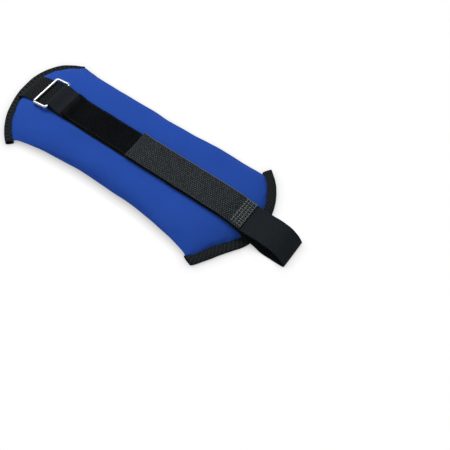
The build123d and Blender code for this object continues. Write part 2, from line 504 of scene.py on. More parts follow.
def sleeveDetail(points, q, upper, shape, folds):
    # gathers beside the bindings, soft dents from the filling and the pull of the strap
    normal = gridNormals(points)
    x, y = points[..., 0], points[..., 1]
    full = endFullness(x, y, shape)
    fromHem = np.clip(full / 0.5, 0, 1)
    gather = np.sin(np.pi * fromHem) ** 2
    turn = np.arctan2(y, np.abs(x) - shape["arcCentre"])
    puckers = ripple(turn, 3.1 + np.sign(x), folds["puckers"], 0.21, 0.13, 0.082) * gather
    lumps = ripple(x, 1.3, folds["lumps"], 0.071, 0.043) * np.cos(y / 0.021 + x / 0.05)
    edge = smoothstep((np.abs(q) - 0.72) / 0.25)[None, :]
    pulls = ripple(x + 0.25 * y, 5.2, folds["pulls"], 0.052, 0.031, 0.019) * edge
    beside = np.exp(-((np.abs(y) - folds["strapSide"]) / 0.0035) ** 2) * folds["besideStrap"]
    amount = puckers + (lumps + pulls) * full + beside * upper[None, :] * full
    amount = np.where(full > 0.02, amount, 0)
    points = points + normal * amount[..., None]
    points[..., 2] = np.maximum(points[..., 2], 0.0002)
    return points


def buildSleeve(shape, material):
    points, q, upper = sleeveGrid(shape)
    points = pressSleeve(points, q, upper, shape, sleevePress)
    straight, middle = shape["straight"], shape["endRows"]
    for row, x in enumerate(np.linspace(-straight, straight, shape["straightRows"] + 1), middle):
        points[row, :, 0] = points[row, :, 0] * 0.5 + x * 0.5
    points = refine(refine(points, 0), 1, closed=True)
    q, upper = sleeveSection(points.shape[1], shape)
    points = sleeveDetail(points, q, upper, shape, sleeveFolds)
    edges = [0]
    for mark in [span["from"] for span in foldSpans.values()][1:]:
        row = 2 * middle + round(2 * shape["straightRows"] * (mark + straight) / (2 * straight))
        points[row, :, 0] = mark
        edges.append(row)
    edges.append(len(points) - 1)
    normal = gridNormals(points)
    alongAt = runningLength(np.linalg.norm(np.diff(points, axis=0), axis=2).mean(axis=1))
    aroundAt = loopLength(points[len(points) // 2])
    for number, span in foldSpans.items():
        first, last = edges[number - 1], edges[number]
        part = slice(first, last + 1)
        piece = tubePiece(f"sleeve_cloth_{number}", points[part], alongAt[part], aroundAt, material,
                          number == 1, number == 6, normal[part])
        bendWith(piece)
        nodes = [f"sleeve_{number}"] + (["sleeve_7"] if number == 6 else [])
        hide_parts(*nodes)
    return points


# shared node groups

def newGroup(name, inputs, outputs):
    tree = bpy.data.node_groups.new(name, "ShaderNodeTree")
    for label, (kind, value) in inputs.items():
        socket = tree.interface.new_socket(label, in_out="INPUT", socket_type="NodeSocket" + kind)
        if value is not None:
            socket.default_value = value
    for label, kind in outputs.items():
        tree.interface.new_socket(label, in_out="OUTPUT", socket_type="NodeSocket" + kind)
    source = tree.nodes.new("NodeGroupInput").outputs
    result = tree.nodes.new("NodeGroupOutput").inputs
    return tree, source, result


def threadAxes(tree, source):
    # cloth coordinates as counts of threads, a little uneven
    wobble = addNode(tree, "TexNoise", {"Vector": source["Cloth"], "Scale": 160.0, "Detail": 2.0})
    drift = calc(tree, "MULTIPLY", calc(tree, "SUBTRACT", wobble.outputs[0], 0.5), source["Uneven"])
    split = addNode(tree, "SeparateXYZ", {0: source["Cloth"]}).outputs
    axes = []
    for axis, pitch in ((0, "Pitch Along"), (1, "Pitch Across")):
        count = calc(tree, "DIVIDE", calc(tree, "MULTIPLY", split[axis], 1000.0), source[pitch])
        axes.append(calc(tree, "ADD", count, drift))
    return axes, split


threadInputs = {
    "Cloth": ("Vector", None),
    "Pitch Along": ("Float", 1.0),      # millimetres
    "Pitch Across": ("Float", 1.0),
    "Uneven": ("Float", 0.3),
}


def makeWoven():
    # threads over and under each other; the threads on top one way take the lighter colour, a painted
    # highlight
    tree, source, result = newGroup("woven", threadInputs, {"Height": "Float", "Lighter Share": "Float"})
    u, v = threadAxes(tree, source)[0]
    product = calc(tree, "MULTIPLY", calc(tree, "SINE", calc(tree, "MULTIPLY", u, math.pi)),
                   calc(tree, "SINE", calc(tree, "MULTIPLY", v, math.pi)))
    tree.links.new(calc(tree, "POWER", calc(tree, "ABSOLUTE", product), 0.55), result["Height"])
    tree.links.new(calc(tree, "MULTIPLY_ADD", product, 0.5, 0.5), result["Lighter Share"])
    return tree


def makeKnit():
    # rows of small V-shaped loops, with the lighter colour on their raised tops, a painted highlight
    tree, source, result = newGroup("knit", threadInputs, {"Height": "Float", "Lighter Share": "Float"})
    u, v = threadAxes(tree, source)[0]
    slant = calc(tree, "ABSOLUTE", calc(tree, "MULTIPLY_ADD", calc(tree, "FRACT", v), 2.0, -1.0))
    row = calc(tree, "SINE", calc(tree, "MULTIPLY", calc(tree, "MULTIPLY_ADD", slant, 0.5, u), math.pi))
    column = calc(tree, "SINE", calc(tree, "MULTIPLY", calc(tree, "FRACT", v), math.pi))
    height = calc(tree, "MULTIPLY", calc(tree, "ABSOLUTE", row), calc(tree, "POWER", column, 0.5))
    tree.links.new(height, result["Height"])
    tree.links.new(ramp(tree, height, 0.15, 0.9), result["Lighter Share"])
    return tree


def makeDashes():
    # short dashes in rows and a plain selvedge at the first edge, both in the lighter colour, a painted
    # highlight
    inputs = {**threadInputs, "Edge Width": ("Float", 1.2)}
    tree, source, result = newGroup("dashes", inputs, {"Height": "Float", "Lighter Share": "Float"})
    (u, v), split = threadAxes(tree, source)
    odd = calc(tree, "MULTIPLY", calc(tree, "MODULO", calc(tree, "FLOOR", v), 2.0), 0.5)
    shifted = calc(tree, "FRACT", calc(tree, "ADD", u, odd))
    along = calc(tree, "ABSOLUTE", calc(tree, "SUBTRACT", shifted, 0.5))
    across = calc(tree, "ABSOLUTE", calc(tree, "SUBTRACT", calc(tree, "FRACT", v), 0.5))
    dash = calc(tree, "MULTIPLY", ramp(tree, along, 0.36, 0.18), ramp(tree, across, 0.30, 0.12))
    patch = addNode(tree, "TexNoise", {"Vector": source["Cloth"], "Scale": 900.0, "Detail": 1.0})
    dash = calc(tree, "MULTIPLY", dash, ramp(tree, patch.outputs[0], 0.34, 0.62))
    edge = calc(tree, "MULTIPLY", split[1], 1000.0)
    selvedge = calc(tree, "MULTIPLY", ramp(tree, edge, 0.15, 0.5),
                    ramp(tree, calc(tree, "SUBTRACT", edge, source["Edge Width"]), 0.2, -0.2))
    tree.links.new(calc(tree, "MAXIMUM", dash, selvedge), result["Lighter Share"])
    tree.links.new(calc(tree, "MAXIMUM", dash, calc(tree, "MULTIPLY", across, 0.5)), result["Height"])
    return tree


def makePile():
    # tangled soft loops
    tree, source, result = newGroup("pile", {"Cloth": ("Vector", None), "Size": ("Float", 0.5)},
                                    {"Height": "Float", "Lighter Share": "Float"})
    scale = calc(tree, "DIVIDE", 1000.0, source["Size"])
    loops = addNode(tree, "TexVoronoi", {"Vector": source["Cloth"], "Scale": scale}, feature="SMOOTH_F1")
    tangle = addNode(tree, "TexNoise", {"Vector": source["Cloth"], "Scale": scale, "Detail": 4.0,
                                        "Distortion": 1.5})
    rounds = calc(tree, "MULTIPLY", loops.outputs[0], 0.5)
    height = calc(tree, "MULTIPLY_ADD", tangle.outputs[0], 0.7, rounds)
    tree.links.new(height, result["Height"])
    tree.links.new(ramp(tree, tangle.outputs[0], 0.42, 0.7), result["Lighter Share"])
    return tree


def makeGrains():
    # loose rounded grains, for the filling and for moulded plastic
    tree, source, result = newGroup("grains", {"Cloth": ("Vector", None), "Size": ("Float", 1.0)},
                                    {"Height": "Float", "Lighter Share": "Float"})
    scale = calc(tree, "DIVIDE", 1000.0, source["Size"])
    cells = addNode(tree, "TexVoronoi", {"Vector": source["Cloth"], "Scale": scale})
    tone = addNode(tree, "SeparateXYZ", {0: cells.outputs["Color"]}).outputs[0]
    tree.links.new(calc(tree, "SUBTRACT", 1.0, cells.outputs["Distance"]), result["Height"])
    tree.links.new(tone, result["Lighter Share"])
    return tree


def makeWear():
    # a lighter colour over the base, a painted highlight on knit, woven and dash threads and a random
    # lighter tone on pile and grains, then slow fading, fine grain and a little dust
    inputs = {
        "Place": ("Vector", None),
        "Base": ("Color", None),
        "Highlight And Random Tone": ("Color", None),
        "Lighter Share": ("Float", 0.0),
        "Fading": ("Float", 0.1),
        "Dust": ("Float", 0.05),
        "Roughness": ("Float", 0.8),
    }
    tree, source, result = newGroup("wear", inputs, {"Color": "Color", "Roughness": "Float"})
    cloth = mixColor(tree, source["Lighter Share"], source["Base"], source["Highlight And Random Tone"])
    slow = addNode(tree, "TexNoise", {"Vector": source["Place"], "Scale": 22.0, "Detail": 3.0})
    fine = addNode(tree, "TexNoise", {"Vector": source["Place"], "Scale": 1400.0, "Detail": 2.0})
    fade = calc(tree, "MULTIPLY", calc(tree, "SUBTRACT", slow.outputs[0], 0.5), source["Fading"])
    grain = calc(tree, "MULTIPLY", calc(tree, "SUBTRACT", fine.outputs[0], 0.5),
                 calc(tree, "MULTIPLY", source["Fading"], 0.7))
    value = calc(tree, "ADD", 1.0, calc(tree, "MULTIPLY", calc(tree, "ADD", fade, grain), 2.0))
    cloth = addNode(tree, "HueSaturation", {"Value": value, "Color": cloth}).outputs[0]
    specks = addNode(tree, "TexNoise", {"Vector": source["Place"], "Scale": 2600.0, "Detail": 1.0})
    settled = calc(tree, "MULTIPLY", ramp(tree, specks.outputs[0], 0.60, 0.80),
                   ramp(tree, slow.outputs[0], 0.30, 0.75))
    share = calc(tree, "MULTIPLY", settled, source["Dust"])
    tree.links.new(mixColor(tree, share, cloth, (0.42, 0.40, 0.37, 1)), result["Color"])
    rough = calc(tree, "ADD", source["Roughness"], calc(tree, "MULTIPLY", fade, 0.6))
    tree.links.new(calc(tree, "MINIMUM", calc(tree, "MAXIMUM", rough, 0.02), 1.0), result["Roughness"])
    return tree


def makePolish():
    # drawn-wire scratches and handling marks on bright metal
    inputs = {"Place": ("Vector", None), "Roughness": ("Float", 0.08), "Marks": ("Float", 0.1)}
    tree, source, result = newGroup("polish", inputs, {"Roughness": "Float", "Height": "Float",
                                                       "Tone": "Color"})
    drawn = addNode(tree, "VectorMath", {0: source["Place"], 1: (300, 2600, 2600)}, operation="MULTIPLY")
    lines = addNode(tree, "TexNoise", {"Vector": drawn.outputs[0], "Scale": 1.0, "Detail": 3.0})
    smears = addNode(tree, "TexNoise", {"Vector": source["Place"], "Scale": 130.0, "Detail": 2.0})
    marks = calc(tree, "MULTIPLY", ramp(tree, smears.outputs[0], 0.45, 0.75), source["Marks"])
    tree.links.new(calc(tree, "ADD", source["Roughness"], marks), result["Roughness"])
    tree.links.new(lines.outputs[0], result["Height"])
    tree.links.new(mixColor(tree, smears.outputs[0], (0.66, 0.67, 0.69, 1), (0.52, 0.53, 0.55, 1)),
                   result["Tone"])
    return tree


patterns = {"woven": makeWoven(), "knit": makeKnit(), "dashes": makeDashes(), "pile": makePile(),
            "grains": makeGrains()}
wearGroup = makeWear()
polishGroup = makePolish()

fabrics = {                     # colours are linear, and the second colour of each is a painted highlight on the threads of knit, woven and dash patterns and a lighter random tone on pile and grain patterns; pitch and size in millimetres, relief in metres
    "neoprene": {"base": (0.0160, 0.0625, 0.3350), "highlightAndRandomTone": (0.0210, 0.0740, 0.3800), "pattern": "knit",
                 "sizes": {"Pitch Along": 0.85, "Pitch Across": 0.70}, "relief": 0.00005,
                 "roughness": 0.70, "fading": 0.10, "dust": 0.05, "sheen": 0.0, "gloss": 0.03},
    "webbing": {"base": (0.0060, 0.0082, 0.0110), "highlightAndRandomTone": (0.0150, 0.0190, 0.0230), "pattern": "woven",
                "sizes": {"Pitch Along": 0.62, "Pitch Across": 0.90}, "relief": 0.00009,
                "roughness": 0.66, "fading": 0.10, "dust": 0.10, "sheen": 0.0, "gloss": 0.05},
    "darkWebbing": {"base": (0.0014, 0.0018, 0.0022), "highlightAndRandomTone": (0.0150, 0.0185, 0.0200),
                    "pattern": "woven",
                    "sizes": {"Pitch Along": 2.10, "Pitch Across": 1.70}, "relief": 0.00012,
                    "roughness": 0.68, "fading": 0.15, "dust": 0.08, "sheen": 0.0, "gloss": 0.04},
    "tape": {"base": (0.0014, 0.0019, 0.0024), "highlightAndRandomTone": (0.0185, 0.0230, 0.0250), "pattern": "woven",
             "sizes": {"Pitch Along": 2.20, "Pitch Across": 1.90}, "relief": 0.00014,
             "roughness": 0.62, "fading": 0.22, "dust": 0.10, "sheen": 0.0, "gloss": 0.05},
    "loopPile": {"base": (0.0022, 0.0026, 0.0034), "highlightAndRandomTone": (0.0085, 0.0095, 0.0110), "pattern": "pile",
                 "sizes": {"Size": 0.8}, "relief": 0.00022,
                 "roughness": 0.94, "fading": 0.12, "dust": 0.14, "sheen": 0.0, "gloss": 0.02},
    "hookBack": {"base": (0.0030, 0.0050, 0.0066), "highlightAndRandomTone": (0.0800, 0.1020, 0.1090), "pattern": "dashes",
                 "sizes": {"Pitch Along": 2.3, "Pitch Across": 2.0, "Edge Width": 1.1},
                 "relief": 0.00010,
                 "roughness": 0.62, "fading": 0.10, "dust": 0.08, "sheen": 0.005, "gloss": 0.12},
    "hooks": {"base": (0.0080, 0.0085, 0.0095), "highlightAndRandomTone": (0.0180, 0.0190, 0.0210), "pattern": "grains",
              "sizes": {"Size": 0.4}, "relief": 0.00002,
              "roughness": 0.38, "fading": 0.06, "dust": 0.05, "sheen": 0.0, "gloss": 0.45},
    "threadDark": {"base": (0.0090, 0.0105, 0.0130), "highlightAndRandomTone": (0.0330, 0.0370, 0.0420), "pattern": "pile",
                   "sizes": {"Size": 0.25}, "relief": 0.00003,
                   "roughness": 0.55, "fading": 0.08, "dust": 0.05, "sheen": 0.01, "gloss": 0.2},
    "threadLight": {"base": (0.2000, 0.2250, 0.2300), "highlightAndRandomTone": (0.3600, 0.3900, 0.3900), "pattern": "pile",
                    "sizes": {"Size": 0.25}, "relief": 0.00003,
                    "roughness": 0.50, "fading": 0.10, "dust": 0.0, "sheen": 0.02, "gloss": 0.3},
    "pouchCloth": {"base": (0.060, 0.062, 0.068), "highlightAndRandomTone": (0.120, 0.122, 0.130), "pattern": "woven",
                   "sizes": {"Pitch Along": 0.55, "Pitch Across": 0.55}, "relief": 0.00005,
                   "roughness": 0.75, "fading": 0.15, "dust": 0.10, "sheen": 0.02, "gloss": 0.15},
    "ironSand": {"base": (0.030, 0.028, 0.026), "highlightAndRandomTone": (0.140, 0.125, 0.110), "pattern": "grains",
                 "sizes": {"Size": 0.7}, "relief": 0.00030,
                 "roughness": 0.52, "fading": 0.20, "dust": 0.25, "sheen": 0.0, "gloss": 0.4},
}


def groupNode(tree, group, inputs):
    return addNode(tree, "Group", inputs, node_tree=group).outputs


def newMaterial(name):
    material = bpy.data.materials.new(name)
    material.use_nodes = True
    tree = material.node_tree
    return material, tree, tree.nodes["Principled BSDF"], addNode(tree, "TexCoord").outputs["Object"]


def makeFabric(name, look):
    material, tree, shader, place = newMaterial(name)
    if look["pattern"] in ("pile", "grains"):
        cloth = place
    else:
        cloth = addNode(tree, "UVMap", uv_map="cloth").outputs["UV"]
    pattern = groupNode(tree, patterns[look["pattern"]], {"Cloth": cloth, **look["sizes"]})
    # the wear group lays the second colour over the base: a painted highlight on knit, woven and dash
    # threads, a random lighter tone on pile and grains
    wear = groupNode(tree, wearGroup, {
        "Place": place, "Base": (*look["base"], 1), "Highlight And Random Tone": (*look["highlightAndRandomTone"], 1),
        "Lighter Share": pattern["Lighter Share"], "Fading": look["fading"], "Dust": look["dust"],
        "Roughness": look["roughness"]})
    bump = addNode(tree, "Bump", {"Height": pattern["Height"], "Strength": 0.8,
                                  "Distance": look["relief"]})
    setInputs(tree, shader, {
        "Base Color": wear["Color"], "Roughness": wear["Roughness"], "Normal": bump.outputs[0],
        "Sheen Weight": look["sheen"], "Sheen Roughness": 0.45, "Specular IOR Level": look["gloss"]})
    return material


chrome = {"roughness": 0.09, "marks": 0.12, "strength": 0.25, "relief": 0.00002}


def makeChrome(look):
    material, tree, shader, place = newMaterial("chrome")
    polish = groupNode(tree, polishGroup, {"Place": place, "Roughness": look["roughness"],
                                           "Marks": look["marks"]})
    bump = addNode(tree, "Bump", {"Height": polish["Height"], "Strength": look["strength"],
                                  "Distance": look["relief"]})
    setInputs(tree, shader, {"Base Color": polish["Tone"], "Roughness": polish["Roughness"],
                             "Normal": bump.outputs[0], "Metallic": 1.0})
    return material


cloths = {name: makeFabric(name, look) for name, look in fabrics.items()}
cloths["chrome"] = makeChrome(chrome)
print("materials ready")

sleevePoints = buildSleeve(sleeveShape, cloths["neoprene"])
print("sleeve done")


# straps, as flat sections carried along a side view

def smoothPath(points, step=0.0008, soften=0.002):
    # evenly spaced points, averaged over the length given by soften
    line = np.array(points, float)
    size = lineLength(line)
    line = evenly(np.linspace(0, size[-1], max(4, round(size[-1] / step) + 1)), size, line)
    reach = min(round(soften / step), len(line) - 2)
    if reach < 1:
        return line
    kernel = np.hanning(2 * reach + 3)[1:-1]
    kernel /= kernel.sum()
    before = 2 * line[0] - line[reach:0:-1]
    after = 2 * line[-1] - line[-2:-reach - 2:-1]
    padded = np.concatenate([before, line, after])
    return np.stack([np.convolve(padded[:, k], kernel, "valid") for k in (0, 1)], -1)


def strapSection(width, thickness, columns=17):
    # y and height share of a flat band with rounded selvedges, from the +Y edge over the top
    turn = np.radians([0, 32, 62])
    edge = thickness * 0.45
    side = width / 2 - edge + edge * np.cos(turn)
    flat = np.linspace(width / 2 - edge, edge - width / 2, columns)
    bead = 1 - 0.16 * np.exp(-((np.abs(flat) - width / 2 + 0.0024) / 0.0005) ** 2)
    overY = np.concatenate([side, flat, -side[:0:-1]])
    overH = np.concatenate([np.sin(turn), bead, np.sin(turn)[:0:-1]])
    return np.concatenate([overY, -overY]), np.concatenate([overH, -overH])


def pathNormals(path):
    along = np.gradient(path, axis=0)
    along /= np.maximum(np.linalg.norm(along, axis=1, keepdims=True), 1e-9)
    return np.stack([-along[:, 1], along[:, 0]], -1)


def strapGrid(path, shape):
    y, height = strapSection(shape["width"], shape["thickness"])
    out = pathNormals(path)
    size = lineLength(path)
    offset = height[None, :] * shape["thickness"] / 2
    edge = np.abs(y / y.max()) ** 6 * np.sign(y)
    wave = ripple(size, shape["seed"], 0.00010, 0.034, 0.019, 0.011)
    points = np.empty((len(path), len(y), 3))
    points[..., 0] = path[:, :1] + out[:, :1] * offset
    points[..., 1] = y[None, :] + wave[:, None] * edge[None, :]
    points[..., 2] = path[:, 1:] + out[:, 1:] * offset
    lift = ripple(size, shape["seed"] + 4, shape.get("lift", 0.00008), 0.045, 0.023)
    rise = 0.5 * (lift[:, None] + lift[::-1][:, None] * (y / y.max())[None, :])
    points[..., 2] += np.where(rise > 0, rise, rise * 0.3)
    return points, size


def splitRows(grid):
    # row numbers where a strap crosses the fold spans' ends, made exact
    middle = grid[..., 0].mean(axis=1)
    rows = {}
    for span in foldSpans.values():
        for mark in (span["from"], span["to"]):
            if middle[0] < mark < middle[-1]:
                row = int(np.argmin(np.abs(middle - mark)))
                grid[row, :, 0] = mark
                rows[mark] = row
    return rows


def strapPieces(stem, grid, size, material, spans, nodes=None):
    # one piece for each fold span, cut where the spans meet
    rows = splitRows(grid)
    normal = gridNormals(grid)
    aroundAt = loopLength(grid[0])
    for number in spans:
        span = foldSpans[number]
        first = 0 if number == spans[0] else rows[span["from"]]
        final = len(grid) - 1 if number == spans[-1] else rows[span["to"]]
        part = slice(first, final + 1)
        piece = tubePiece(f"{stem}_cloth_{number}", grid[part], size[part], aroundAt, material,
                          number == spans[0], number == spans[-1], normal[part])
        bendWith(piece)
        if nodes:
            stood = [f"{nodes}_{number}"]
            if number == spans[-1] and number < 7:
                stood.append(f"{nodes}_{number + 1}")
            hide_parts(*stood)


def overCrest(x0, x1, offset):
    # side view that keeps one distance off the sleeve's middle line
    crest = sleevePoints[:, sleevePoints.shape[1] // 4][:, (0, 2)]
    x = np.linspace(x0, x1, round((x1 - x0) / 0.002) + 1)
    line = smoothPath(crest, soften=0.003)
    line = line + pathNormals(line) * offset
    return list(zip(x, np.interp(x, line[:, 0], line[:, 1])))


baseStrap = {
    "width": 0.032, "thickness": 0.0013, "seed": 2.0, "offset": 0.00080,
    "fromX": -0.1365, "toX": 0.1335,
    "intoTape": [(-0.1400, 0.0030), (-0.1385, 0.0036)],
    "overBinding": [(0.1356, 0.0066), (0.138, 0.0062), (0.142, 0.0059), (0.146, 0.0052),
                    (0.150, 0.0036), (0.154, 0.0018), (0.158, 0.0009), (0.164, 0.00075)],
}


def buildBaseStrap(shape):
    path = shape["intoTape"] + overCrest(shape["fromX"], shape["toX"], shape["offset"])
    path += shape["overBinding"]
    path = smoothPath(path, soften=0.0016)
    grid, size = strapGrid(path, shape)
    strapPieces("base_strap", grid, size, cloths["darkWebbing"], [1, 2, 3, 4, 5, 6],
                "base_webbing")


loopStrap = {
    "width": 0.030, "thickness": 0.0014, "seed": 5.0, "offset": 0.00225, "toX": 0.1135,
    "rise": [(-0.0826, 0.0220), (-0.0805, 0.0220), (-0.0785, 0.0219), (-0.0767, 0.0213),
             (-0.0750, 0.0204), (-0.0732, 0.0196), (-0.0705, 0.0192)],
    "fuzz": 0.00006, "fuzzSeed": 11, "from": -0.068,
}


def buildLoopStrap(shape):
    path = shape["rise"] + overCrest(shape["from"], shape["toX"], shape["offset"])
    path = smoothPath(path, step=0.0005, soften=0.0015)
    grid, size = strapGrid(path, shape)
    fuzz = np.random.default_rng(shape["fuzzSeed"]).normal(0, shape["fuzz"], grid.shape[:2])
    grid = grid + gridNormals(grid) * np.clip(fuzz, -2 * shape["fuzz"], 2 * shape["fuzz"])[..., None]
    strapPieces("loop_strip", grid, size, cloths["loopPile"], [2, 3, 4, 5, 6],
                "loop_strip")
    return path


tailShape = {                   # side view of the tail: how far its underside has dropped at each x
    "x": [-0.0025, 0.1000, 0.104, 0.108, 0.112, 0.116, 0.120, 0.124, 0.130, 0.136, 0.142,
          0.148, 0.154, 0.160, 0.165, 0.169],
    "drop": [0.0, 0.0, 0.0001, 0.00035, 0.0008, 0.0014, 0.0020, 0.0026, 0.0033, 0.0036, 0.0036,
             0.0034, 0.0034, 0.0038, 0.0047, 0.0060],
    "low": 0.0202,
    "turn": [(0.1730, 0.0117), (0.1763, 0.0091), (0.1788, 0.0064), (0.1803, 0.0042),
             (0.1809, 0.0028), (0.1806, 0.0016), (0.1796, 0.0010), (0.1775, 0.00075),
             (0.1740, 0.00072), (0.1700, 0.00075), (0.1640, 0.00075)],
}


def tailPath(distance, fromX, toX):
    x = np.linspace(fromX, toX, max(2, round((toX - fromX) / 0.002) + 1))
    drop = np.interp(x, tailShape["x"], tailShape["drop"])
    return list(zip(x, tailShape["low"] - drop + distance))


hookTape = {
    "width": 0.032, "thickness": 0.0009, "seed": 7.0, "fromX": -0.0025, "toX": 0.130,
    "above": 0.00120, "lift": 0.00005,
    "cornerLift": 0.0011, "cornerX": 0.010, "cornerY": -0.002, "cornerSpread": (0.011, 0.017),
}
hookField = {
    "width": 0.030, "thickness": 0.00030, "seed": 8.0, "fromX": -0.0012, "toX": 0.112,
    "above": 0.00060, "pitch": 0.00155, "tall": 0.00046, "radius": 0.00011, "sides": 4,
    "lift": 0.0,
}


def buildHookTape(shape):
    path = smoothPath(tailPath(shape["above"], shape["fromX"], shape["toX"]))
    grid, size = strapGrid(path, shape)
    spreadX, spreadY = shape["cornerSpread"]
    corner = smoothstep((shape["cornerX"] - grid[..., 0]) / spreadX)
    corner = corner * smoothstep((grid[..., 1] - shape["cornerY"]) / spreadY)
    grid[..., 2] += shape["cornerLift"] * corner
    strapPieces("hook_tape", grid, size, cloths["hookBack"], [4, 5, 6],
                "hook_tape")
    return path


def hookMesh(spots, shape):
    # each hook is a short bent stem that hangs from its base sheet
    bend = np.array([(0, 0), (0, -0.45), (0.16, -0.82), (0.42, -1.0), (0.66, -0.84)])
    sizes = shape["radius"] * np.array([1.25, 1.0, 0.95, 0.85, 0.6])
    sides, rings = shape["sides"], len(bend)
    turn = turnsRound(sides)
    centre = spots[:, None, None, :] * np.ones((1, rings, sides, 1))
    lean = np.where(np.arange(len(spots)) % 2 > 0, 1.0, -1.0)[:, None, None]
    reach = bend[None, :, None, 0] * shape["tall"]
    centre[..., 0] += lean * reach + (sizes[:, None] * np.cos(turn))[None]
    centre[..., 1] += (sizes[:, None] * np.sin(turn))[None]
    centre[..., 2] += bend[None, :, None, 1] * shape["tall"]
    base = (np.arange(len(spots)) * rings * sides)[:, None, None]
    quads = gridQuads(rings, sides)[:, [0, 3, 2, 1]]
    faces = (base + quads[None]).reshape(-1, 4).tolist()
    tips = (base[:, 0] + rings * sides - 1 - np.arange(sides)).tolist()
    return centre.reshape(-1, 3), faces + tips


def buildHookField(shape):
    path = smoothPath(tailPath(shape["above"], shape["fromX"], shape["toX"]))
    grid, size = strapGrid(path, shape)
    strapPieces("hook_field", grid, size, cloths["hooks"], [4, 5, 6],
                "hook_field")
    xs = np.arange(shape["fromX"] + 0.0012, shape["toX"] - 0.001, shape["pitch"])
    ys = np.arange(-shape["width"] / 2 + 0.0013, shape["width"] / 2 - 0.001, shape["pitch"])
    for number in (4, 5, 6):
        span = foldSpans[number]
        low = -1 if number == 4 else span["from"]
        inside = xs[(xs >= low) & (xs < span["to"])]
        x, y = np.meshgrid(inside, ys, indexing="ij")
        x = x + (np.round(y / shape["pitch"]) % 2) * shape["pitch"] / 2
        z = np.interp(x, path[:, 0], path[:, 1]) - shape["thickness"] / 2
        vertices, faces = hookMesh(np.stack([x, y, z], -1).reshape(-1, 3), shape)
        piece = meshPiece(f"hooks_{number}", vertices, faces, cloths["hooks"])
        bendWith(piece)


returnStrap = {
    "width": 0.032, "thickness": 0.0013, "seed": 9.0, "fromX": 0.117, "toX": 0.168,
    "above": -0.0001, "lift": 0.00005, "foldX": 0.179, "foldFrom": 0.0015, "foldTo": 0.0045,
}


def buildReturnStrap(shape):
    path = tailPath(shape["above"], shape["fromX"], tailShape["x"][-1]) + tailShape["turn"]
    path = smoothPath(path, step=0.0005, soften=0.0011)
    grid, size = strapGrid(path, shape)
    normal = gridNormals(grid)
    top = int(np.argmax(path[:, 0] >= shape["toX"]))
    aroundAt = loopLength(grid[0])
    upper = tubePiece("return_strap", grid[:top + 1], size[:top + 1], aroundAt, cloths["webbing"],
                      True, False, normal[:top + 1])
    bendWith(upper)
    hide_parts("return_webbing")
    fold = tubePiece("return_fold", grid[top:], size[top:], aroundAt, cloths["webbing"],
                     False, True, normal[top:])
    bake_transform(fold)
    return path[:top + 1]


buildBaseStrap(baseStrap)
loopPath = buildLoopStrap(loopStrap)
tapePath = buildHookTape(hookTape)
buildHookField(hookField)
returnPath = buildReturnStrap(returnStrap)
print("straps done")


# the ring and the webbing that holds it

anchorStrap = {
    "width": 0.0315, "thickness": 0.0013, "seed": 12.0, "lift": 0.00002,
    "bar": (-0.0986, 0.0217), "turn": 0.00235,
    "under": [(-0.0785, 0.01915), (-0.0850, 0.01915), (-0.0900, 0.01915), (-0.0950, 0.01915)],
    "over": [(-0.0974, 0.0239), (-0.0954, 0.0233), (-0.0932, 0.0225), (-0.0912, 0.0216),
             (-0.0892, 0.0210), (-0.0870, 0.02065), (-0.0840, 0.0205), (-0.0785, 0.0205)],
    "wrapFrom": 255, "wrapTo": 95, "wrapStep": 16,      # degrees round the bar
    "narrowing": 0.035, "narrowX": -0.1005, "narrowReach": 0.006,
}


def buildAnchor(shape):
    x, z = shape["bar"]
    turn = np.radians(np.arange(shape["wrapFrom"], shape["wrapTo"], -shape["wrapStep"]))
    fold = [(x + shape["turn"] * math.cos(t), z + shape["turn"] * math.sin(t)) for t in turn]
    path = smoothPath(shape["under"] + fold + shape["over"], step=0.0004, soften=0.0007)
    grid, size = strapGrid(path, shape)
    near = np.exp(-((path[:, 0] - shape["narrowX"]) / shape["narrowReach"]) ** 2)
    grid[..., 1] *= 1 - shape["narrowing"] * near[:, None]
    piece = tubePiece("anchor_webbing", grid, size, loopLength(grid[0]), cloths["webbing"],
                      True, True, gridNormals(grid))
    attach(piece, "pad_2")
    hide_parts("anchor_loop")


wireRing = {
    "bars": ((-0.0986, 0.0217), (-0.1144, 0.0189)), "width": 0.036, "bend": 0.0022,
    "radius": 0.00148, "around": 28, "step": 0.0008,
    "weld": 0.06, "weldHalf": 0.0011, "weldAt": 0.001,
}


def roundedLoop(length, shape, steps=9):
    width, bend = shape["width"], shape["bend"]
    points = []
    corners = ((1, 1, 0), (-1, 1, 90), (-1, -1, 180), (1, -1, 270))
    for sx, sy, first in corners:
        cx, cy = sx * (length / 2 - bend), sy * (width / 2 - bend)
        for a in np.radians(np.linspace(first, first + 90, steps)):
            points.append((cx + bend * math.cos(a), cy + bend * math.sin(a)))
    closed = np.array(points + points[:1])
    size = lineLength(closed)
    return evenly(np.unique(np.concatenate([size[:-1], np.arange(0, size[-1], shape["step"])])),
                  size, closed)


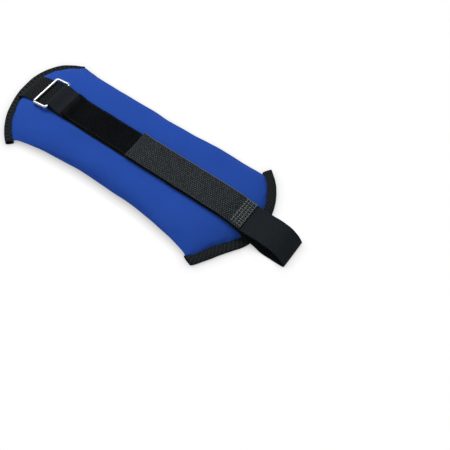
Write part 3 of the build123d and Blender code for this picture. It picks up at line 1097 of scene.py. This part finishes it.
def buildRing(shape):
    (inX, inZ), (outX, outZ) = shape["bars"]
    length = math.hypot(inX - outX, inZ - outZ)
    along = np.array([(inX - outX) / length, 0, (inZ - outZ) / length])
    side = np.array([0, 1.0, 0])
    up = np.cross(along, side)
    loop = roundedLoop(length, shape)
    middle = np.array([(inX + outX) / 2, 0, (inZ + outZ) / 2])
    centre = middle + loop[:, :1] * along + loop[:, 1:] * side
    ahead = np.roll(centre, -1, 0) - np.roll(centre, 1, 0)
    ahead /= np.linalg.norm(ahead, axis=1, keepdims=True)
    out = np.cross(ahead, up)
    fromWeld = np.linalg.norm(loop - (shape["weldAt"], shape["width"] / 2), axis=1)
    radius = shape["radius"] * (1 + shape["weld"] * np.exp(-(fromWeld / shape["weldHalf"]) ** 2))
    turn = turnsRound(shape["around"])
    spoke = np.cos(turn)[None, :, None] * up + np.sin(turn)[None, :, None] * out[:, None, :]
    points = centre[:, None, :] + spoke * radius[:, None, None]
    faces = gridQuads(*points.shape[:2], closed=True).tolist()
    piece = meshPiece("wire_ring", points.reshape(-1, 3), faces, cloths["chrome"],
                      normals=spoke.reshape(-1, 3))
    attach(piece, "ring")
    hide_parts("ring")


buildAnchor(anchorStrap)
buildRing(wireRing)
print("ring done")


# woven tape folded over each curved end

edgeTape = {
    "low": 0.0003, "high": 0.0050, "centre": 0.05874,
    "ribPitch": 0.00125, "rib": 0.00010, "around": 30, "rowPitch": 0.00032,
    "meanRadius": 0.081, "puff": 0.00018, "halfHeight": 0.0025, "widening": 0.12,
    "clearance": 0.00005,
    "ends": {                   # angles where the tape is cut, at its inner edge and its outer fold
        "ring": {"sign": -1, "first": (-51.5, -51.0), "last": (46.5, 46.0), "span": 1,
                 "node": "binding_ring_end"},
        "strap": {"sign": 1, "first": (-55.3, -50.8), "last": (49.5, 50.5), "span": 6,
                  "node": "binding_strap_end"},
    },
}


def tapeSection(shape):
    # share of the tape's width and height round the folded tape, rolled at its outer fold
    turn = turnsRound(shape["around"])
    c, s = np.cos(turn), np.sin(turn)
    share = 0.5 + 0.5 * np.sign(c) * np.abs(c) ** 0.55
    tall = (shape["high"] - shape["low"]) / 2
    swell = 0.80 + 0.20 * np.sin(np.pi * share ** 0.8)
    height = (shape["high"] + shape["low"]) / 2 + tall * swell * np.sign(s) * np.abs(s) ** 0.5
    return share, height


def tapeTurns(end, share, steps):
    # angle of each point for shares 0 to 1 of the way along, with the cut ends' slant
    first = end["first"][0] + (end["first"][1] - end["first"][0]) * share
    last = end["last"][0] + (end["last"][1] - end["last"][0]) * share
    return np.radians(first[None, :] + (last - first)[None, :] * steps[:, None])


def tapePlan(shape, end, turn, share):
    # x and y on the tape at an angle, for a share of its width from the inner edge
    inner, outer = (endLine(end["sign"], turn, which) for which in ("inner", "outer"))
    r = inner + (outer - inner) * share
    return end["sign"] * (shape["centre"] + r * np.cos(turn)), r * np.sin(turn)


def buildEdgeTape(shape, name, end):
    share, height = tapeSection(shape)
    length = np.radians(end["last"][0] - end["first"][0]) * shape["meanRadius"]
    steps = np.linspace(0, 1, round(length / shape["rowPitch"]))
    turn = tapeTurns(end, share, steps)
    size = steps * length
    rib = np.abs(np.sin(np.pi * size / shape["ribPitch"])) * shape["rib"]
    puff = ripple(size, 1.0 + end["sign"], shape["puff"], 0.027, 0.016, 0.009)
    grow = (rib + puff)[:, None] / shape["halfHeight"]
    middle = height.mean()
    widened = 0.5 + (share - 0.5)[None, :] * (1 + grow * shape["widening"])
    x, y = tapePlan(shape, end, turn, widened)
    z = np.maximum(middle + (height - middle)[None, :] * (1 + grow), shape["clearance"])
    points = np.stack([x, y, z], -1)
    if end["sign"] < 0:
        points = points[::-1]
    normal = gridNormals(points)
    outward = points - points.mean(axis=1, keepdims=True)
    if (normal * outward).sum() < 0:
        points = points[:, (-np.arange(shape["around"])) % shape["around"]]
        normal = gridNormals(points)
    piece = tubePiece(f"edge_tape_{name}", points, size, loopLength(points[0]), cloths["tape"],
                      True, True, normal)
    bendWith(piece)
    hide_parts(end["node"])


for endName, endShape in edgeTape["ends"].items():
    buildEdgeTape(edgeTape, endName, endShape)
print("bindings done")


# stitches

def stitchPiece(name, seam, radius, material):
    # one small arched thread per stitch, its ends sunk into the cloth
    starts, stops, normals = (np.asarray(part, float) for part in seam)
    share = np.array([0, 0.12, 0.35, 0.65, 0.88, 1.0])
    tall = np.array([-1.2, -0.1, 0.6, 0.6, -0.1, -1.2]) * radius
    thick = np.array([0.55, 0.9, 1.0, 1.0, 0.9, 0.55]) * radius
    sides, rings = 6, len(share)
    along = stops - starts
    side = np.cross(along, normals)
    side /= np.maximum(np.linalg.norm(side, axis=1, keepdims=True), 1e-12)
    turn = turnsRound(sides)
    centre = (starts[:, None, :] + along[:, None, :] * share[None, :, None]
              + normals[:, None, :] * tall[None, :, None])
    ring = (np.cos(turn)[None, None, :, None] * side[:, None, None, :]
            + np.sin(turn)[None, None, :, None] * normals[:, None, None, :])
    points = centre[:, :, None, :] + ring * thick[None, :, None, None]
    base = np.arange(len(starts))[:, None, None] * rings * sides
    faces = (base + gridQuads(rings, sides)[None]).reshape(-1, 4).tolist()
    faces += (base[:, 0] + np.arange(sides - 1, -1, -1)).tolist()
    faces += (base[:, 0] + (rings - 1) * sides + np.arange(sides)).tolist()
    return meshPiece(name, points.reshape(-1, 3), faces, material)


def onStrap(path, x, above):
    # height and slope of a strap's upper face where it runs forward in x
    z = np.interp(x, path[:, 0], path[:, 1])
    slope = np.interp(x, path[:, 0], np.gradient(path[:, 1], path[:, 0]))
    size = np.sqrt(1 + slope ** 2)
    return x - slope / size * above, z + above / size, -slope / size, 1 / size


def seamAlong(path, above, x0, x1, ys, length, pitch):
    # rows of stitches that run with the strap
    starts, stops, normals = [], [], []
    for y in ys:
        x = np.arange(x0, x1 - length, pitch)
        for near, far in zip(x, x + length):
            ends = [onStrap(path, v, above) for v in (near, far)]
            starts.append((ends[0][0], y, ends[0][1]))
            stops.append((ends[1][0], y, ends[1][1]))
            normals.append((ends[0][2], 0, ends[0][3]))
    return starts, stops, normals


def seamAcross(path, above, xs, y0, y1, length, pitch):
    starts, stops, normals = [], [], []
    for x in xs:
        at = onStrap(path, x, above)
        for y in np.arange(y0, y1 - length, pitch):
            starts.append((at[0], y, at[1]))
            stops.append((at[0], y + length, at[1]))
            normals.append((at[2], 0, at[3]))
    return starts, stops, normals


def joined(*seams):
    return [sum((list(seam[k]) for seam in seams), []) for k in range(3)]


stitching = {
    "thread": 0.00022,
    "length": 0.0021,
    "pitch": 0.0028,
    "loop": {                   # top is how far the strap's face is from its middle line
        "top": 0.00066, "inset": 0.0004, "fromX": -0.0785, "toX": 0.0395,
        "rows": (-0.0134, 0.0134), "anchorRows": (-0.0812, -0.0794), "across": (-0.0135, 0.0137),
    },
    "patch": {
        "top": 0.00044, "fromX": 0.1180, "toX": 0.1296, "length": 0.0023, "pitch": 0.0029,
        "rows": np.linspace(-0.0125, 0.0145, 10), "lines": np.linspace(0.1190, 0.1290, 4),
        "lineTop": 0.00048, "lineLength": 0.0015, "linePitch": 0.0022, "across": (-0.0138, 0.0150),
    },
    "return": {
        "top": 0.00064, "fromX": 0.1325, "toX": 0.1675, "rows": (-0.0138, 0.0138),
        "lines": (0.1315,), "across": (-0.0135, 0.0137),
    },
    "tape": {
        "share": 0.16, "radius": 0.078, "ends": (0.01, 0.99), "margin": 0.03,
        "underStrap": 0.0175, "clearance": 0.0002,
    },
}


def buildLoopStitches(look):
    loop, length, pitch = look["loop"], look["length"], look["pitch"]
    for number in (2, 3, 4):
        span = foldSpans[number]
        low = max(span["from"], loop["fromX"]) + loop["inset"]
        high = min(span["to"], loop["toX"])
        seam = seamAlong(loopPath, loop["top"], low, high, loop["rows"], length, pitch)
        if number == 2:
            rows = seamAcross(loopPath, loop["top"], loop["anchorRows"], *loop["across"], length, pitch)
            seam = joined(seam, rows)
        piece = stitchPiece(f"loop_stitches_{number}", seam, look["thread"], cloths["threadDark"])
        bendWith(piece)


def buildTailStitches(look):
    patch, back = look["patch"], look["return"]
    seam = joined(
        seamAlong(tapePath, patch["top"], patch["fromX"], patch["toX"], patch["rows"],
                  patch["length"], patch["pitch"]),
        seamAcross(tapePath, patch["lineTop"], patch["lines"], *patch["across"],
                   patch["lineLength"], patch["linePitch"]))
    piece = stitchPiece("patch_stitches", seam, look["thread"], cloths["threadLight"])
    bendWith(piece)
    seam = joined(
        seamAlong(returnPath, back["top"], back["fromX"], back["toX"], back["rows"],
                  look["length"], look["pitch"]),
        seamAcross(returnPath, back["top"], back["lines"], *back["across"],
                   look["length"], look["pitch"]))
    piece = stitchPiece("return_stitches", seam, look["thread"], cloths["threadDark"])
    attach(piece, "tail_7")


def buildTapeStitches(look, shape):
    sewn = look["tape"]
    share, height = tapeSection(shape)
    half = shape["around"] // 2
    for name, end in shape["ends"].items():
        first, last = tapeTurns(end, np.array([sewn["share"]]), np.array(sewn["ends"]))[:, 0]
        begin = np.arange(first, last - sewn["margin"], look["pitch"] / sewn["radius"])
        seams = []
        for face in (1, -1):
            part = slice(0, half + 1) if face > 0 else slice(half, None)
            order = np.argsort(share[part])
            z = float(np.interp(sewn["share"], share[part][order], height[part][order]))
            z = max(z, sewn["clearance"])
            points = []
            for turn in (begin, begin + look["length"] / sewn["radius"]):
                x, y = tapePlan(shape, end, turn, sewn["share"])
                points.append(np.stack([x, y, np.full_like(turn, z)], -1))
            clear = np.abs(points[0][:, 1]) > (sewn["underStrap"] if face > 0 else 0)
            normals = np.tile((0, 0, float(face)), (int(clear.sum()), 1))
            seams.append((points[0][clear], points[1][clear], normals))
        piece = stitchPiece(f"tape_stitches_{name}", joined(*seams), look["thread"],
                            cloths["threadDark"])
        bendWith(piece)


buildLoopStitches(stitching)
buildTailStitches(stitching)
buildTapeStitches(stitching, edgeTape)
print("stitches done")


# lap seam down the middle of the underside

lapSeam = {
    "width": 0.013, "thickness": 0.0008, "seed": 15.0, "lift": 0.0, "halfLength": 0.126,
    "points": 64, "middle": 0.00075, "rows": (-0.0048, 0.0048), "inset": 0.0004,
}


def buildLapSeam(shape, look):
    half = shape["halfLength"]
    path = smoothPath([(x, shape["middle"]) for x in np.linspace(-half, half, shape["points"])])
    grid, size = strapGrid(path, shape)
    strapPieces("lap_seam", grid, size, cloths["neoprene"], [1, 2, 3, 4, 5, 6])
    below = shape["middle"] - shape["thickness"] / 2
    for number, span in foldSpans.items():
        low, high = max(span["from"], -half) + shape["inset"], min(span["to"], half)
        seam = seamAlong(path, 0, low, high, shape["rows"], look["length"], look["pitch"])
        starts, stops = ([(x, y, below) for x, y, z in ends] for ends in seam[:2])
        seam = (starts, stops, [(0, 0, -1.0)] * len(starts))
        piece = stitchPiece(f"lap_stitches_{number}", seam, look["thread"], cloths["threadDark"])
        bendWith(piece)


buildLapSeam(lapSeam, stitching)
print("underside done")


# the seven pouches of iron sand inside the sleeve

pouchShape = {
    "cover": 0.0027, "fill": 0.0036, "gap": 0.0012, "sandGap": 0.0007,
    "hinge": 0.016, "slope": 0.364, "rows": 15, "pitch": 0.040, "wrinkle": 0.00012,
    "least": 0.0002, "halfWidth": 0.050, "narrowing": 1.1, "endRow": 20, "endLength": 0.008,
    "endWidth": {1: 0.92, 7: 0.96},
    "endSpans": {1: 1, 7: 6},   # "endSpans": {1: 1, 7: 6}, # the end bags are left unparented, like the cloth round them
    "cloth": (0.04, 0.24),      # metres of bag cloth along and around
}


def bagGrid(number, inset, gap, shape):
    # the sleeve drawn in by inset, with sloped ends so that neighbouring bags can fold
    low, high = shape["pitch"] * (number - 4.5) + gap, shape["pitch"] * (number - 3.5) - gap
    source = sleevePoints[:, ::4]
    columns = source.shape[1]
    mirrored = (-np.arange(columns)) % columns
    middle = (source[..., 2] + source[:, mirrored, 2]) / 2
    half = np.abs(source[..., 2] - middle)
    height = middle + np.sign(source[..., 2] - middle) * np.maximum(half - inset, shape["least"])
    drawnIn = 1 - shape["narrowing"] * inset / shape["halfWidth"]
    width = source[..., 1] * drawnIn * shape["endWidth"].get(number, 1.0)
    share = np.linspace(0, 1, shape["rows"])
    grid = np.empty((shape["rows"], columns, 3))
    for k in range(columns):
        x = source[:, k, 0]
        ends = [low, high]
        if number == 1:
            ends[0] = min(x[shape["endRow"]], high - shape["endLength"])
        if number == 7:
            ends[1] = max(x[-shape["endRow"]], low + shape["endLength"])
        for side, sign in ((0, 1), (1, -1)):
            if (number, side) not in ((1, 0), (7, 1)):
                z = np.interp(ends[side], x, height[:, k])
                ends[side] += sign * max(shape["hinge"] - z, 0) * shape["slope"]
        grid[:, k, 0] = ends[0] + (ends[1] - ends[0]) * share
        grid[:, k, 1] = np.interp(grid[:, k, 0], x, width[:, k])
        grid[:, k, 2] = np.interp(grid[:, k, 0], x, height[:, k])
    swell = ripple(grid[..., 0] + grid[..., 1] * 0.4, number, shape["wrinkle"], 0.017, 0.011)
    grid[..., 2] -= np.abs(swell) * np.sign(grid[..., 2] - 0.006)
    return grid


def buildPouches(shape):
    along, around = shape["cloth"]
    for number in range(1, 8):
        for stem, node, inset, look, extra, slotName in (
                ("pouch", "pouch", shape["cover"], "pouchCloth", 0.0, "pouch_cloth"),
                ("sand", "weight_fill", shape["fill"], "ironSand", shape["sandGap"], "iron_sand")):
            grid = bagGrid(number, inset, shape["gap"] + extra, shape)
            piece = tubePiece(f"{stem}_bag_{number}", grid, np.linspace(0, along, len(grid)),
                              np.linspace(0, around, grid.shape[1] + 1), cloths[look], True, True,
                              gridNormals(grid))
            if number in shape["endSpans"]:
                bendWith(piece)
            else:
                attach(piece, f"pad_{number}")
            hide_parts(f"{node}_{number}")


buildPouches(pouchShape)
print("pouches done")
